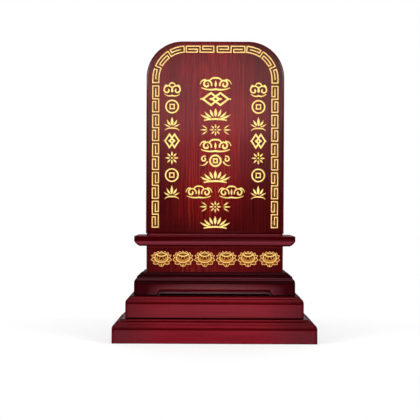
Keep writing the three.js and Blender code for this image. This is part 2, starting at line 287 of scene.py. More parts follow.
lacquers = {
    "crimson": {
        "colour": (0.132, 0.0038, 0.0087), "deep": (0.0592, 0.00067, 0.0019),
        "glow": (0.16, 0.0058, 0.0128), "ledge": (0.115, 0.0045, 0.0083),
        "pooled": (0.0483, 0.00017, 0.00042), "under": (0.0208, 0.00042, 0.0011),
        "joint": (0.0208, 0.00025, 0.00042), "end": (0.0508, 0.0108, 0.0146),
        "foot": 32.0,
        "lines": [
            (17.9, 21.4, 0.95), (28.2, 29.6, 0.95), (51.4, 54.8, 0.95), (58.2, 59.0, 0.95), (60.9, 62.4, 0.95),
        ],
        "mouldings": [(19.5, 31.0), (52.6, 61.5)],
        "ends": 0.65, "endReach": (72, 120),
        "rough": (0.30, 0.44), "coat": 0.35, "gloss": 1.50,
    },
    "dark": {
        "colour": (0.0521, 0.0017, 0.0052), "deep": (0.0192, 0.00042, 0.0014),
        "glow": (0.0729, 0.0035, 0.0104), "ledge": (0.035, 0.0069, 0.0097),
        "pooled": (0.01, 0.00008, 0.00025), "under": (0.0142, 0.00042, 0.00083),
        "joint": (0.0033, 0.00017, 0.00025), "end": (0.0192, 0.00042, 0.0014),
        "foot": 62.0,
        "lines": [(78.5, 82.9, 0.95), (87.7, 91.2, 0.95), (91.4, 95.0, 0.6)],
        "mouldings": [],
        "ends": 0.90, "endReach": (45, 92),
        "rubbed": (0.0867, 0.015, 0.0192), "rubbedFrom": (78.5, 72.0), "rubbedReach": (98, 66),
        "rough": (0.26, 0.40), "coat": 0.375, "gloss": 1.55,
    },
    "cornice": {
        "colour": (0.0292, 0.00025, 0.001), "deep": (0.0183, 0.00017, 0.00058),
        "glow": (0.0358, 0.00067, 0.0019), "ledge": (0.104, 0.0083, 0.0104),
        "pooled": (0.0225, 0.00025, 0.00067), "under": (0.156, 0.0187, 0.0312),
        "joint": (0.0208, 0.00025, 0.00058), "end": (0.0183, 0.00017, 0.00058),
        "foot": 130.0,
        "lines": [], "mouldings": [],
        "ends": 0.35, "endReach": (60, 125),
        "rubbed": (0.104, 0.0183, 0.02), "rubbedFrom": (143.6, 144.4), "rubbedReach": (98, 96),
        "rough": (0.26, 0.40), "coat": 0.183, "gloss": 1.50,
    },
}
lacquerWear = {
    "clouds": (0.35, 0.0, 9, 4, 0.55),
    "brushing": (0.02, 2.3, 420, 5, 0.6, 0.3),
    "fine": (0.05, 5.9, 2400, 2, 0.5),
    "joint": ((-1.0, -0.2), (1.2, 2.6)),  # millimetres over a foot: painted contact shadow in the joint there
    "lineEdge": 0.35,  # how softly the painted dark lines under the mouldings end
    "mouldingEdges": (1.2, 0.8),
    "mitre": 60.0,  # how much wider than deep every moulding is, so where its mitres stand
    "mitreReach": (1.0, 4.5),
}


def lacquerMaterial(kind, axis):
    tree = newTree(f"{kind}_lacquer_{'xyz'[axis]}")
    lacquer, wear = lacquers[kind], lacquerWear
    clouds, brushing, fine = [grain(tree, axis, *wear[layer]) for layer in ("clouds", "brushing", "fine")]
    height, upward = measured(tree, "Z"), facing(tree, "Z")
    # painted shade: towards its ends a rail is darker, as the light falls off there
    beside = abs(measured(tree, "XYZ"[axis]) + (clouds - 0.5) * 60)
    ends = spread(beside, *lacquer["endReach"])
    layers = [(spread(brushing, 0.50, 0.72) * 0.55, "deep"), (ends * lacquer["ends"], "end")]
    if "rubbed" in lacquer:
        # painted sheen: lighter in the middle of the base's face, and a painted highlight along the cornice's
        # top
        rubbed = spread(height, *lacquer["rubbedFrom"]) * spread(beside, *lacquer["rubbedReach"])
        layers.append((rubbed, "rubbed"))
    # painted light and shade: ledges and undersides take tones for how light falls on them, the lines under the
    # mouldings are painted dark reflections, and the mitres are darker
    ledge = spread(upward, 0.30, 0.50)
    layers += [(spread(upward, -0.08, -0.45), "under"), (ledge, "ledge")]
    dull, soft = ledge * 0.6, wear["lineEdge"]
    for low, high, share in lacquer["lines"]:
        line = between(height, (low - soft, low + soft), (high - soft, high + soft))
        layers.append((line * share, "pooled"))
        dull = dull + line
    mitre = abs(abs(measured(tree, "X")) - abs(measured(tree, "Y")) - wear["mitre"])
    layers.append((spread(mitre, *wear["mitreReach"], 0.75, 0.0), "pooled"))
    # painted shade: the small mouldings are darker again towards the ends
    lead, tail = wear["mouldingEdges"]
    for low, high in lacquer["mouldings"]:
        layers.append((between(height, (low - lead, low), (high, high + tail)) * ends * 0.5, "under"))
    # painted contact shadow just over the foot, where the piece stands on the one below
    joint = [[lacquer["foot"] + reach for reach in edge] for edge in wear["joint"]]
    layers.append((between(height, *joint), "joint"))
    colour = mix(spread(clouds, 0.35, 0.68), lacquer["colour"], lacquer["glow"])
    for share, tone in layers:
        colour = mix(share, colour, lacquer[tone])
    roughness = spread(brushing * 0.6 + clouds * 0.4, 0.35, 0.65, *lacquer["rough"])
    return finished(colour, roughness, brushing * 0.7 + fine * 0.3, (0.08, 0.2), {
        "Coat Weight": spread(dull, 0.0, 1.0, lacquer["coat"], 0.06),
        "Specular IOR Level": 0.0,
        "Coat Roughness": 0.05,
        "Coat IOR": lacquer["gloss"],
    })


# Bare wood inside: blocks, boards, guides and slips

# the light and the dark colour, the scale of the rings and the roughness
bareWoods = {
    "plain": ((0.35, 0.20, 0.0917), (0.229, 0.118, 0.0483), 150, 0.68),
    "slip": ((0.433, 0.283, 0.133), (0.325, 0.192, 0.0767), 190, 0.6),
    "stained": ((0.0483, 0.0083, 0.0063), (0.0242, 0.0035, 0.0028), 150, 0.6),
}


def bareWoodMaterial(kind, axis):
    tree = newTree(f"{kind}_wood_{'xyz'[axis]}")
    light, dark, scale, rough = bareWoods[kind]
    rings = grain(tree, axis, 0.05, 0.0, scale, 5, 0.6, 1.2)
    fibres = grain(tree, axis, 0.015, 4.2, 1900, 3, 0.6)
    colour = mix(spread(rings, 0.35, 0.65), light, dark)
    colour = mix(spread(fibres, 0.5, 0.75) * 0.4, colour, dark, "MULTIPLY")
    roughness = spread(fibres, 0.3, 0.7, rough - 0.06, rough + 0.08)
    return finished(colour, roughness, fibres * 0.7 + rings * 0.3, (0.25, 0.3), {"Specular IOR Level": 0.3})


# Gold in the carving, and brass screws

# colour of the leaf, of its deeper patches and of a groove's walls; gleam; least and most roughness
golds = {
    "bright": ((1.0, 0.78, 0.25), (0.92, 0.52, 0.12), (0.167, 0.05, 0.005), 0.5, (0.30, 0.48)),
    "fretted": ((0.93, 0.60, 0.23), (0.86, 0.42, 0.11), (0.167, 0.0458, 0.005), 0.5, (0.30, 0.48)),
    "pale": ((1.0, 0.56, 0.17), (0.90, 0.42, 0.09), (0.20, 0.0583, 0.0083), 0.3, (0.32, 0.50)),
    "cupped": ((0.50, 0.20, 0.0292), (0.333, 0.117, 0.0167), (0.20, 0.0583, 0.0083), 0.2, (0.35, 0.50)),
    "shaded": ((0.217, 0.0567, 0.0058), (0.15, 0.035, 0.0033), (0.05, 0.0075, 0.00083), 0.1, (0.40, 0.60)),
}


def goldMaterial(kind):
    tree = newTree(f"gold_{kind}")
    light, deep, wall, gleam, rough = golds[kind]
    patches = noise(coordinates(tree), 160, 4, 0.6, 0.4)
    specks = noise(coordinates(tree), 1800, 2, 0.6)
    colour = mix(spread(patches, 0.52, 0.74), light, deep)
    # darker brown on the steep walls of a groove
    colour = mix(spread(facing(tree, "Y"), -0.90, -0.70), colour, wall)
    others = {"Specular IOR Level": gleam, "Metallic": spread(patches, 0.4, 0.7, 0.30, 0.15)}
    return finished(colour, spread(specks, 0.3, 0.7, *rough), patches * 0.5 + specks * 0.5, (0.35, 0.2), others)


def brassMaterial():
    tree = newTree("screw_brass")
    tarnish = noise(coordinates(tree), 420, 4, 0.6)
    scratches = grain(tree, xAxis, 0.05, 0.0, 5200, 2, 0.5)
    colour = mix(spread(tarnish, 0.45, 0.7), (0.55, 0.375, 0.142), (0.275, 0.158, 0.05))
    roughness = spread(scratches * 0.5 + tarnish * 0.5, 0.35, 0.65, 0.26, 0.46)
    return finished(colour, roughness, scratches, (0.2, 0.1), {"Metallic": 1.0})


# lacquer on the trim of the cut-out, painted with light and shade: a painted highlight on the lip, painted
# shadow on the lining and a painted reflection on the bead, with rubbed patches; its light and deep colour, and
# its least and most roughness
paints = {
    "lip": ((0.146, 0.0167, 0.0208), (0.0592, 0.0056, 0.0077), (0.30, 0.45)),
    "shadeLining": ((0.104, 0.0028, 0.0063), (0.0625, 0.0011, 0.0028), (0.45, 0.60)),
    "bead": ((0.0867, 0.0389, 0.0458), (0.0625, 0.0264, 0.0312), (0.40, 0.55)),
}


def paintMaterial(kind):
    tree = newTree(f"{kind}_lacquer")
    light, deep, rough = paints[kind]
    rubbed = grain(tree, xAxis, 0.06, 0.0, 260, 5, 0.6)
    # rubbed patches, and painted shade towards the ends
    rubbedAndEndShade = spread(rubbed, 0.45, 0.70) * 0.6 + spread(abs(measured(tree, "X")), 30, 85) * 0.5
    roughness = spread(rubbed, 0.35, 0.65, *rough)
    return finished(mix(rubbedAndEndShade, light, deep), roughness, rubbed, (0.1, 0.2), {"Specular IOR Level": 0.05})


lipPaint, shadeLiningPaint, beadPaint = map(paintMaterial, paints)
uprightRosewood = rosewoodMaterial("rosewood_upright", zAxis, tabletFigureAndLight)
archRosewood = rosewoodMaterial("rosewood_arch", xAxis, tabletFigureAndLight)
waistRosewood = rosewoodMaterial("rosewood_waist", zAxis, waistFigureAndLight)
brightGold, frettedGold, paleGold, cuppedGold, shadedGold = map(goldMaterial, golds)
brass = brassMaterial()
lacquerSets = {(kind, axis): lacquerMaterial(kind, axis) for kind in lacquers for axis in (xAxis, yAxis)}
bareWoodUses = (("plain", xAxis), ("plain", zAxis), ("slip", zAxis), ("stained", xAxis))
bareWoodSets = {(kind, axis): bareWoodMaterial(kind, axis) for kind, axis in bareWoodUses}
print("materials made:", len(bpy.data.materials))


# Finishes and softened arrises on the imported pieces

arris = {"lacquered": 0.35 * mm, "bare": 0.2 * mm, "segments": 2, "sharpFrom": 30, "weld": 0.002 * mm}
lacquerSlots = {"red_lacquer": "crimson", "dark_lacquer": "dark", "cornice_lacquer": "cornice"}
frameSlots = {part["node"]: part["material_slot"] for part in frame["record"]["subparts"]}


def shadeFaces(piece, smooth):
    piece.data.polygons.foreach_set("use_smooth", [smooth] * len(piece.data.polygons))


def weldCorners(piece):
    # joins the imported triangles
    piece.modifiers.new("weld", "WELD").merge_threshold = arris["weld"]


def soften(piece, width):
    # rounds the sharp edges a little and evens the shading
    shadeFaces(piece, True)
    weldCorners(piece)
    bevel = piece.modifiers.new("arris", "BEVEL")
    bevel.width = width
    bevel.segments = arris["segments"]
    bevel.limit_method = "ANGLE"
    bevel.angle_limit = radians(arris["sharpFrom"])
    bevel.miter_outer = "MITER_ARC"
    piece.modifiers.new("shading", "WEIGHTED_NORMAL").keep_sharp = False


def finishOf(name):
    slot = frameSlots[name]
    if slot == "tablet_wood":
        woods = {"waist": waistRosewood, "case_arch": archRosewood}
        return next((wood for start, wood in woods.items() if name.startswith(start)), uprightRosewood)
    if slot in lacquerSlots:
        return lacquerSets[lacquerSlots[slot], yAxis if "left" in name or "right" in name else xAxis]
    if slot == "slip_wood":
        return bareWoodSets["slip", zAxis]
    if "top_board" in name:
        return bareWoodSets["stained", xAxis]
    return bareWoodSets["plain", zAxis if "batten" in name or "guide" in name else xAxis]


for nodeName, node in nodes.items():
    finish = finishOf(nodeName)
    node.data.materials.clear()
    node.data.materials.append(finish)
    soften(node, arris["bare" if finish in bareWoodSets.values() else "lacquered"])
print("packed pieces finished")


# Flat shapes for the carving, in millimetres

def turns(start, end, count):
    return [radians(start + (end - start) * i / count) for i in range(count + 1)]


def arc(centre, radii, start, end, count):
    # on an ellipse, angles in degrees
    (x, z), (wide, high) = centre, radii
    return [(x + wide * cos(turn), z + high * sin(turn)) for turn in turns(start, end, count)]


def oval(centre, radii, corners):
    return arc(centre, radii, 0, 360 - 360 / corners, corners - 1)


def curl(centre, radii, start, end, count):
    # a spiral from the first radius to the second
    points = []
    for i, turn in enumerate(turns(start, end, count)):
        radius = radii[0] + (radii[1] - radii[0]) * i / count
        points.append((centre[0] + radius * cos(turn), centre[1] + radius * sin(turn)))
    return points


def bent(first, pull, last, count=8):
    # a curve from first to last, drawn towards pull
    points = []
    for i in range(count + 1):
        t = i / count
        a, b, c = (1 - t) ** 2, 2 * t * (1 - t), t * t
        points.append(tuple(a * first[k] + b * pull[k] + c * last[k] for k in (0, 1)))
    return points


def stroke(points, width, closed=False, tip=1.0, twoTips=False):
    # triangles along a line, mitred where it turns; the width falls to tip times itself at the end
    places = [Vector(p) for p in points]
    count = len(places)
    rims = []
    for i, place in enumerate(places):
        before = places[i - 1] if closed or i else None
        after = places[(i + 1) % count] if closed or i + 1 < count else None
        ways = [w.normalized() for w in (before and place - before, after and after - place) if w]
        normals = [Vector((-w.y, w.x)) for w in ways]
        across = sum(normals, Vector((0, 0)))
        across /= max(across.dot(normals[0]), 0.3)
        along = abs(2 * i / (count - 1) - 1) if twoTips else i / (count - 1)
        half = width / 2 * (1 + (tip - 1) * along)
        rims.append((place + across * half, place - across * half))
    pairs = list(zip(rims, rims[1:] + rims[:1]) if closed else zip(rims, rims[1:]))
    # crossed quads in a tight curl, and slivers, would spoil the union
    triangles = [[a[0], a[1], b[1]] for a, b in pairs] + [[a[0], b[1], b[0]] for a, b in pairs]
    return [t for t in triangles if abs(signedArea(t)) > 0.01 * max((t[i] - t[i - 1]).length for i in range(3))]


def leafShape(base, tip, width, lean=0.0):
    # a pointed petal, bellied out to each side and bent by lean
    base, tip = Vector(base), Vector(tip)
    along = tip - base
    across = Vector((-along.y, along.x)).normalized()
    middle = base + along * 0.42 + across * lean
    return bent(base, middle + across * width, tip) + bent(tip, middle - across * width, base)[1:-1]


def mirrored(points):
    return [(-p[0], p[1]) for p in points]


def both(polygons):
    return polygons + [mirrored(polygon) for polygon in polygons]


def spanning(points, width, tip):
    # a stroke drawn from its right half, with both ends tapered
    return stroke(mirrored(points[:0:-1]) + list(points), width, False, tip, True)


def signedArea(polygon):
    return sum(a[0] * b[1] - b[0] * a[1] for a, b in zip(polygon, polygon[1:] + polygon[:1])) / 2


def united(solids, holes=(), merge=1e-2):
    # one set of triangles that covers the solids but for the holes
    corners = []
    faces = []
    for polygon in list(solids) + list(holes):
        ordered = list(polygon) if signedArea(polygon) > 0 else list(polygon)[::-1]
        faces.append(list(range(len(corners), len(corners) + len(ordered))))
        corners += [Vector((p[0], p[1])) for p in ordered]
    places, _, found, _, _, origins = geometry.delaunay_2d_cdt(corners, [], faces, 1, merge)
    kept = [face for face, own in zip(found, origins) if own and all(i < len(solids) for i in own)]
    return places, kept


def placed(shape, shift):
    return [p + shift for p in shape[0]], shape[1]


def merged(shapes):
    places, faces = [], []
    for ownPlaces, ownFaces in shapes:
        faces += [[i + len(places) for i in face] for face in ownFaces]
        places += ownPlaces
    return places, faces


# Cutting shapes into a face and laying gold in them

def newPiece(name, data):
    piece = bpy.data.objects.new(name, data)
    bpy.context.scene.collection.objects.link(piece)
    return piece


def newMesh(name, made, *materials):
    mesh = bpy.data.meshes.new(name)
    made.to_mesh(mesh)
    made.free()
    for material in materials:
        mesh.materials.append(material)
    return mesh


def joinRings(made, rings):
    for near, far in zip(rings, rings[1:]):
        for i in range(len(near)):
            j = (i + 1) % len(near)
            made.faces.new([near[i], near[j], far[j], far[i]])


def shapeMesh(shape, faceY):
    places, faces = shape
    made = bmesh.new()
    corners = [made.verts.new((p.x * mm, faceY, p.y * mm)) for p in places]
    for face in faces:
        made.faces.new([corners[i] for i in face])
    loose = [v for v in made.verts if not v.link_faces]
    bmesh.ops.delete(made, geom=loose, context="VERTS")
    bmesh.ops.dissolve_limit(made, angle_limit=0.001, verts=made.verts, edges=made.edges)
    bmesh.ops.triangulate(made, faces=made.faces)
    return made


def sink(made, floor, depth, slope, even):
    # draws the shape in by the slope and moves it back to the groove's floor
    bmesh.ops.inset_region(made, faces=floor, thickness=slope, use_even_offset=even, use_boundary=True)
    for corner in {v for face in floor for v in face.verts}:
        corner.co.y += depth


def thicken(made, floor, thickness):
    # closes a flat shape with a copy in front of it
    grown = bmesh.ops.extrude_face_region(made, geom=floor, use_keep_orig=True)
    for item in grown["geom"]:
        if isinstance(item, bmesh.types.BMVert):
            item.co.y -= thickness


def pourInto(whole, made):
    bmesh.ops.recalc_face_normals(made, faces=made.faces)
    part = newMesh("part", made)
    whole.from_mesh(part)
    bpy.data.meshes.remove(part)


def goldLeaf(name, shape, depth, slope, even, leaf, material):
    made = shapeMesh(shape, boardLow.y)
    sink(made, made.faces[:], depth, slope, even)
    piece = newPiece(name, newMesh(name, made, material))
    skin = piece.modifiers.new("leaf", "SOLIDIFY")
    skin.thickness, skin.offset = leaf, 1
    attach(piece, "front_board")


def grooveCutter(shapes, faceY):
    # closed solids that fill the grooves and stand out in front of the face
    whole = bmesh.new()
    for shape, depth, slope, even in shapes:
        made = shapeMesh(shape, faceY)
        floor = made.faces[:]
        thicken(made, floor, mm)
        sink(made, floor, depth, slope, even)
        pourInto(whole, made)
    return newPiece("cutter", newMesh("cutter", whole))


def carve(piece, cutter):
    cut = piece.modifiers.new("carving", "BOOLEAN")
    cut.operation, cut.solver = "DIFFERENCE", "EXACT"
    cut.use_self, cut.object = True, cutter
    graph = bpy.context.evaluated_depsgraph_get()
    carved = bpy.data.meshes.new_from_object(piece.evaluated_get(graph))
    piece.modifiers.clear()
    piece.data = carved
    bpy.data.objects.remove(cutter)


# Key fret round the tablet's face

boardLow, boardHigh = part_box("front_board")
fret = {
    "line": 2.05,
    "unit": 2.07,  # half a line and its gap
    "side": 86.2,  # from the middle of the face to the outer line
    "top": 405.2,  # height of the outer line over the arch
    "radius": 45.6,
    "sideStart": 351.3, "sidePitch": 39.72, "sideLength": 37.75, "sidePairs": 5,
    "topHalf": 41.4, "topLength": 40.0,
    "inner": 4.0,  # units from the outer line to the inner one
    "depth": 0.55, "slope": 0.34, "leaf": 0.05,
    "stain": (0.060, 0.022, 0.0002), "stainShare": 0.9,
}


def pairPath(length):
    # a pair of hooks: how far along the band each corner is, and how far inward
    unit = fret["unit"]
    end = length / unit
    half = end / 2
    corners = [
        (1.8, 2), (half - 1.8, 2), (half - 1.8, 4), (0.5, 4), (0.5, 0), (half, 0),
        (half, 4), (end - 0.5, 4), (end - 0.5, 0), (half + 1.8, 0), (half + 1.8, 2), (end - 1.8, 2),
    ]
    return [(along * unit, inward * unit) for along, inward in corners]


# degrees from the top of the arch, and units inward from the outer line
cornerChain = [
    (9.3, 2), (28.5, 2), (28.5, 0), (3.65, 0), (3.65, 4), (33.2, 4), (33.2, 0),
    (66.4, 0), (66.4, 4), (96.0, 4), (96.0, 0), (72.3, 0), (72.3, 2), (91.0, 2),
]
cornerLoop = [(38.4, 2), (60.6, 2), (60.6, 4), (38.4, 4)]


def cornerPoint(turn, inward):
    # past the quarter the band runs straight down
    radius = fret["radius"] - inward * fret["unit"]
    centreX = -fret["side"] + fret["radius"]
    centreZ = fret["top"] - fret["radius"]
    within = radians(min(turn, 90))
    below = radians(max(turn - 90, 0)) * fret["radius"]
    return centreX - radius * sin(within), centreZ + radius * cos(within) - below


def cornerPath(chain, closed=False):
    # follows the chain, in short steps where it runs round the corner
    points = []
    ends = chain[1:] + chain[:1] if closed else chain[1:]
    for (turn, inward), (nextTurn, nextInward) in zip(chain, ends):
        steps = max(1, ceil(abs(nextTurn - turn) / 3)) if inward == nextInward else 1
        points += [cornerPoint(turn + (nextTurn - turn) * i / steps, inward) for i in range(steps)]
    return points if closed else points + [cornerPoint(*chain[-1])]


def fretLines():
    side, top, line = fret["side"], fret["top"], fret["line"]
    down, over = pairPath(fret["sideLength"]), pairPath(fret["topLength"])
    left = []
    for i in range(fret["sidePairs"]):
        start = fret["sideStart"] - i * fret["sidePitch"]
        left += stroke([(-side + inward, start - along) for along, inward in down], line)
    left += stroke([(-fret["topHalf"] + along, top - inward) for along, inward in over], line)
    left += stroke(cornerPath(cornerChain), line) + stroke(cornerPath(cornerLoop, True), line, True)
    return both(left)


fretShape = united(fretLines())
print("fret drawn:", len(fretShape[1]), "triangles")


def fretBand(tree):
    # 1 in the band that the fret fills, by how far a place is past the middle of a corner
    up = measured(tree, "Z")
    across = abs(measured(tree, "X")) - (fret["side"] - fret["radius"])
    above = up - (fret["top"] - fret["radius"])
    past = [way.maths("MAXIMUM", way) for way in (across, above)]
    corner, soft = tree.add("CombineXYZ", None, dict(enumerate(past))), 0.2
    inner = fret["radius"] - fret["inner"] * fret["unit"]
    foot = fret["sideStart"] - (fret["sidePairs"] - 1) * fret["sidePitch"] - fret["sideLength"]
    edges = [(place - soft, place + soft) for place in (inner, fret["radius"], foot)]
    return between(lengthOf(corner), *edges[:2]) * spread(up, *edges[2])


stain = {"band": fretBand, "colour": fret["stain"], "share": fret["stainShare"]}
frettedRosewood = rosewoodMaterial("rosewood_fretted", zAxis, tabletFigureAndLight, stain)


# Gilded ornaments of the three columns: clouds, lotuses, rosettes, lozenges, coins and buds
# Each is drawn round its middle, for half its width, half its height and the width of its lines.

column = {
    "line": 3.15, "sideLine": 2.6,
    "depth": 0.7, "slope": 0.28, "leaf": 0.05,
    "middle": (43, 17.4), "flank": (36, 17.0), "side": (23, 19.2),
    "middleX": 0.4, "flankX": 22.5, "sideX": 59.5,
    "rows": [353.5, 332.5, 311.5, 290.0, 268.5, 247.5, 226.0, 184.0, 163.0],
    "flankRow": 204.5,
    "sideTop": 345.5, "sidePitch": 23.6,
}


def petals(w, h, *rows):
    # foot, tip, width and lean as shares of half the width and half the height
    return [leafShape((a * w, b * h), (c * w, d * h), wide * w, lean * w) for a, b, c, d, wide, lean in rows]


def bow(w, h, a, b, c, d, e, f):
    return bent((a * w, b * h), (c * w, d * h), (e * w, f * h))


def cloudMotif(w, h, line):
    # two scrolls under a raised brow, with a drop between them
    scroll = stroke(curl((0.56 * w, -0.10 * h), (0.10 * h, 0.78 * h), 120, 560, 26), line, tip=0.75)
    wing = stroke(bow(w, h, 0.62, 0.62, 0.92, 0.70, 1, -0.1), line * 0.85, tip=0.5)
    brow = spanning(bow(w, h, 0, 0.92, 0.30, 0.98, 0.40, 0.42), line * 0.9, 0.7)
    foot = spanning(bow(w, h, 0, -0.86, 0.5, -1.10, 0.93, -0.62), line * 0.95, 0.5)
    return both(scroll + wing) + brow + foot + petals(w, h, (0, -0.58, 0, 0.56, 0.15, 0))


def lotusMotif(w, h, line):
    # seven filled petals over a curved foot
    inner, outer = (0.13, -0.42, 0.36, 0.82, 0.17, -0.05), (0.24, -0.52, 0.72, 0.46, 0.15, -0.10)
    sides = petals(w, h, inner, outer, (0.30, -0.66, 0.98, -0.02, 0.14, -0.10))
    foot = spanning(bow(w, h, 0, -0.74, 0.45, -0.78, 0.74, -0.98), line * 0.95, 0.6)
    return both(sides) + foot + petals(w, h, (0, -0.46, 0, 1, 0.20, 0))


def lozengeMotif(w, h, line):
    # two lozenges linked side by side, with a bead at each end
    half, shift = 0.52 * w, 0.30 * w
    outline = [(shift - half, 0), (shift, -h * 0.95), (shift + half, 0), (shift, h * 0.95)]
    heart = [(shift - 0.14 * w, 0), (shift, -0.24 * h), (shift + 0.14 * w, 0), (shift, 0.24 * h)]
    bead = oval((0.94 * w, 0), (0.06 * w, 0.06 * w), 12)
    return both(stroke(outline, line * 0.9, True) + [heart, bead])


def rosetteMotif(w, h, line):
    # eight petals round a seed, with a fan of three leaves at each side if the place is wide
    feet, tips = [oval((0, 0), (reach * h, reach * h), 8) for reach in (0.24, 0.98)]
    rosette = [leafShape(foot, tip, 0.27 * h) for foot, tip in zip(feet, tips)]
    rosette.append(oval((0, 0), (0.15 * h, 0.15 * h), 12))
    if w < 1.5 * h:
        return rosette
    fan = [leafShape((0.50 * w, 0), (w, 0), 0.26 * h)]
    for side in (-h, h):
        fan.append(leafShape((0.52 * w, 0.12 * side), (0.90 * w, 0.80 * side), 0.22 * h, 0.06 * side))
    return rosette + both(fan)


def coinMotif(w, h, line):
    # a round coin with a square hole, between ribbons if the place is wide
    radius = min(w, h) - line * 0.4
    side = radius * 0.34
    coin = stroke(oval((0, 0), (radius, radius), 24), line * 0.85, True)
    coin += stroke([(-side, -side), (side, -side), (side, side), (-side, side)], line * 0.7, True)
    if w < 1.5 * h:
        return coin
    ribbon = stroke(curl((0.72 * w, 0.26 * h), (0.12 * h, 0.5 * h), 100, 480, 22), line * 0.8, tip=0.8)
    return coin + both(ribbon + stroke(bow(w, h, 0.50, -0.10, 0.66, -0.9, 1, -0.72), line * 0.85, tip=0.3))


def budMotif(w, h, line):
    # a lotus bud on a leaf
    sides = petals(w, h, (0.10, -0.30, 0.62, 0.60, 0.26, -0.12), (0.16, -0.46, 0.98, 0.02, 0.18, -0.12))
    leaf = spanning(bow(w, h, 0, -0.62, 0.6, -0.60, 0.86, -0.96), line * 0.9, 0.5)
    return both(sides) + leaf + petals(w, h, (0, -0.36, 0, 1, 0.34, 0))


middleOrder = [
    cloudMotif, lozengeMotif, lotusMotif, rosetteMotif, cloudMotif,
    coinMotif, lotusMotif, rosetteMotif, lotusMotif,
]
sideOrder = [cloudMotif, coinMotif, budMotif, lozengeMotif, rosetteMotif, coinMotif, budMotif]


def columnShapes():
    # the middle column with its flanking clouds, the left one and the right one
    def drawn(motif, size, line, x, z):
        return placed(united(motif(size[0] / 2, size[1] / 2, line)), Vector((x, z)))

    size, line, middleX, sideLine = [column[key] for key in ("middle", "line", "middleX", "sideLine")]
    middle = [drawn(motif, size, line, middleX, z) for motif, z in zip(middleOrder, column["rows"])]
    sides = []
    for sign in (-1, 1):
        flankX, sideX = middleX + sign * column["flankX"], sign * column["sideX"]
        middle.append(drawn(cloudMotif, column["flank"], sideLine, flankX, column["flankRow"]))
        sides.append(merged([
            drawn(motif, column["side"], sideLine, sideX, column["sideTop"] - i * column["sidePitch"])
            for i, motif in enumerate(sideOrder)
        ]))
    return [merged(middle), *sides]


ornaments = columnShapes()
print("ornaments drawn:", [len(faces) for places, faces in ornaments], "triangles")


# The front board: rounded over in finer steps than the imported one, then carved

board = {"radius": 50.0, "round": 3.0, "roundSteps": 8, "arcSteps": 30, "sharpFrom": 25}


def archRing(inset):
    half = boardHigh.x / mm - inset
    top = boardHigh.z / mm - inset
    radius = board["radius"] - inset
    foot = boardLow.z / mm + inset
    points = [(-half, foot), (half, foot)]
    points += arc((half - radius, top - radius), (radius, radius), 0, 90, board["arcSteps"])
    points += arc((radius - half, top - radius), (radius, radius), 90, 180, board["arcSteps"])
    return points


def frontBoard():
    made = bmesh.new()
    depths = [(0.0, boardHigh.y / mm)]
    for i in range(board["roundSteps"] + 1):
        angle = pi / 2 * i / board["roundSteps"]
        inset = board["round"] * (1 - cos(angle))
        depths.append((inset, boardLow.y / mm + board["round"] * (1 - sin(angle))))
    rings = [[made.verts.new((x * mm, y * mm, z * mm)) for x, z in archRing(inset)] for inset, y in depths]
    joinRings(made, rings)
    made.faces.new(rings[0])
    made.faces.new(rings[-1])
    bmesh.ops.recalc_face_normals(made, faces=made.faces)
    return newPiece("carved_front_board", newMesh("carved_front_board", made, frettedRosewood))


frontPiece = frontBoard()
groove = (column["depth"] * mm, column["slope"] * mm, False)
fretGroove = (fret["depth"] * mm, fret["slope"] * mm, True)
grooves = [(fretShape, *fretGroove)] + [(shape, *groove) for shape in ornaments]
carve(frontPiece, grooveCutter(grooves, boardLow.y))
shading = frontPiece.modifiers.new("shading", "WEIGHTED_NORMAL")
shadeFaces(frontPiece, True)
frontPiece.data.set_sharp_from_angle(angle=radians(board["sharpFrom"]))
shading.keep_sharp = True
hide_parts("front_board")
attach(frontPiece, "front_board")
goldLeaf("fret_gilding", fretShape, *fretGroove, fret["leaf"] * mm, frettedGold)
for side, shape in zip(("middle", "left", "right"), ornaments):
    goldLeaf(f"{side}_column_gilding", shape, *groove, column["leaf"] * mm, brightGold)
print("front board carved:", len(frontPiece.data.polygons), "faces")


# Six lotus medallions on the waist

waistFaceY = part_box("waist_front_panel")[0].y
lotus = {
    "count": 6, "pitch": 29.85, "centreX": 1.2, "centreZ": 112.15,
    "size": 0.935, "line": 0.70,
    "recess": 0.55,  # of the gilded ground
    "heights": (0.42, 0.48, 0.25),  # of the petals' lines, the cup's lines and the cup's face over that ground
    "notch": 1.3, "slope": 0.06, "leaf": 0.06, "merge": 1e-3,
    "ring": (9.9, 6.5), "ringCentre": 1.2, "ringEnds": (142, 398),
    "pod": ((0, 6.3), (6.2, 2.4)),
    "foot": ((0, -9.2), (0.9, 0.75)),
    "garland": [(-9.0, 7.2), (-5.2, 4.3), (0, 3.7)],
    "tips": [(0, 11.2), (5.0, 10.9), (10.2, 9.1), (14.3, 5.0), (14.9, -1.4), (11.6, -7.4)],
    "valleys": [(2.5, 8.4), (7.2, 7.7), (10.9, 5.6), (12.0, 1.6), (10.9, -4.2), (6.0, -7.9)],
    # the last curves of the outline down to its lowest point: pull, end and steps
    "lowest": [((8.4, -8.6), (6.0, -7.9), 3), ((4.2, -7.2), (3.7, -8.6), 3), ((2.9, -11.2), (0, -11.1), 5)],
    "middleNotch": [
        (-1.1, 2.9), (-1.9, 0.6), (-3.0, -1.5), (-1.0, -1.7), (0, -0.3),
        (1.0, -1.7), (3.0, -1.5), (1.9, 0.6), (1.1, 2.9),
    ],
    "sideNotches": [
        [(3.1, 0.0), (4.9, -0.5), (5.6, 2.6), (4.5, 3.5), (3.0, 3.0)],
        [(6.1, 2.0), (7.9, 1.7), (8.5, 4.6), (7.5, 5.3), (6.0, 4.6)],
    ],
    "slits": [((1.9, -2.1), (2.6, -3.9), 0.42), ((5.0, -1.0), (6.4, -2.6), 0.42)],
}


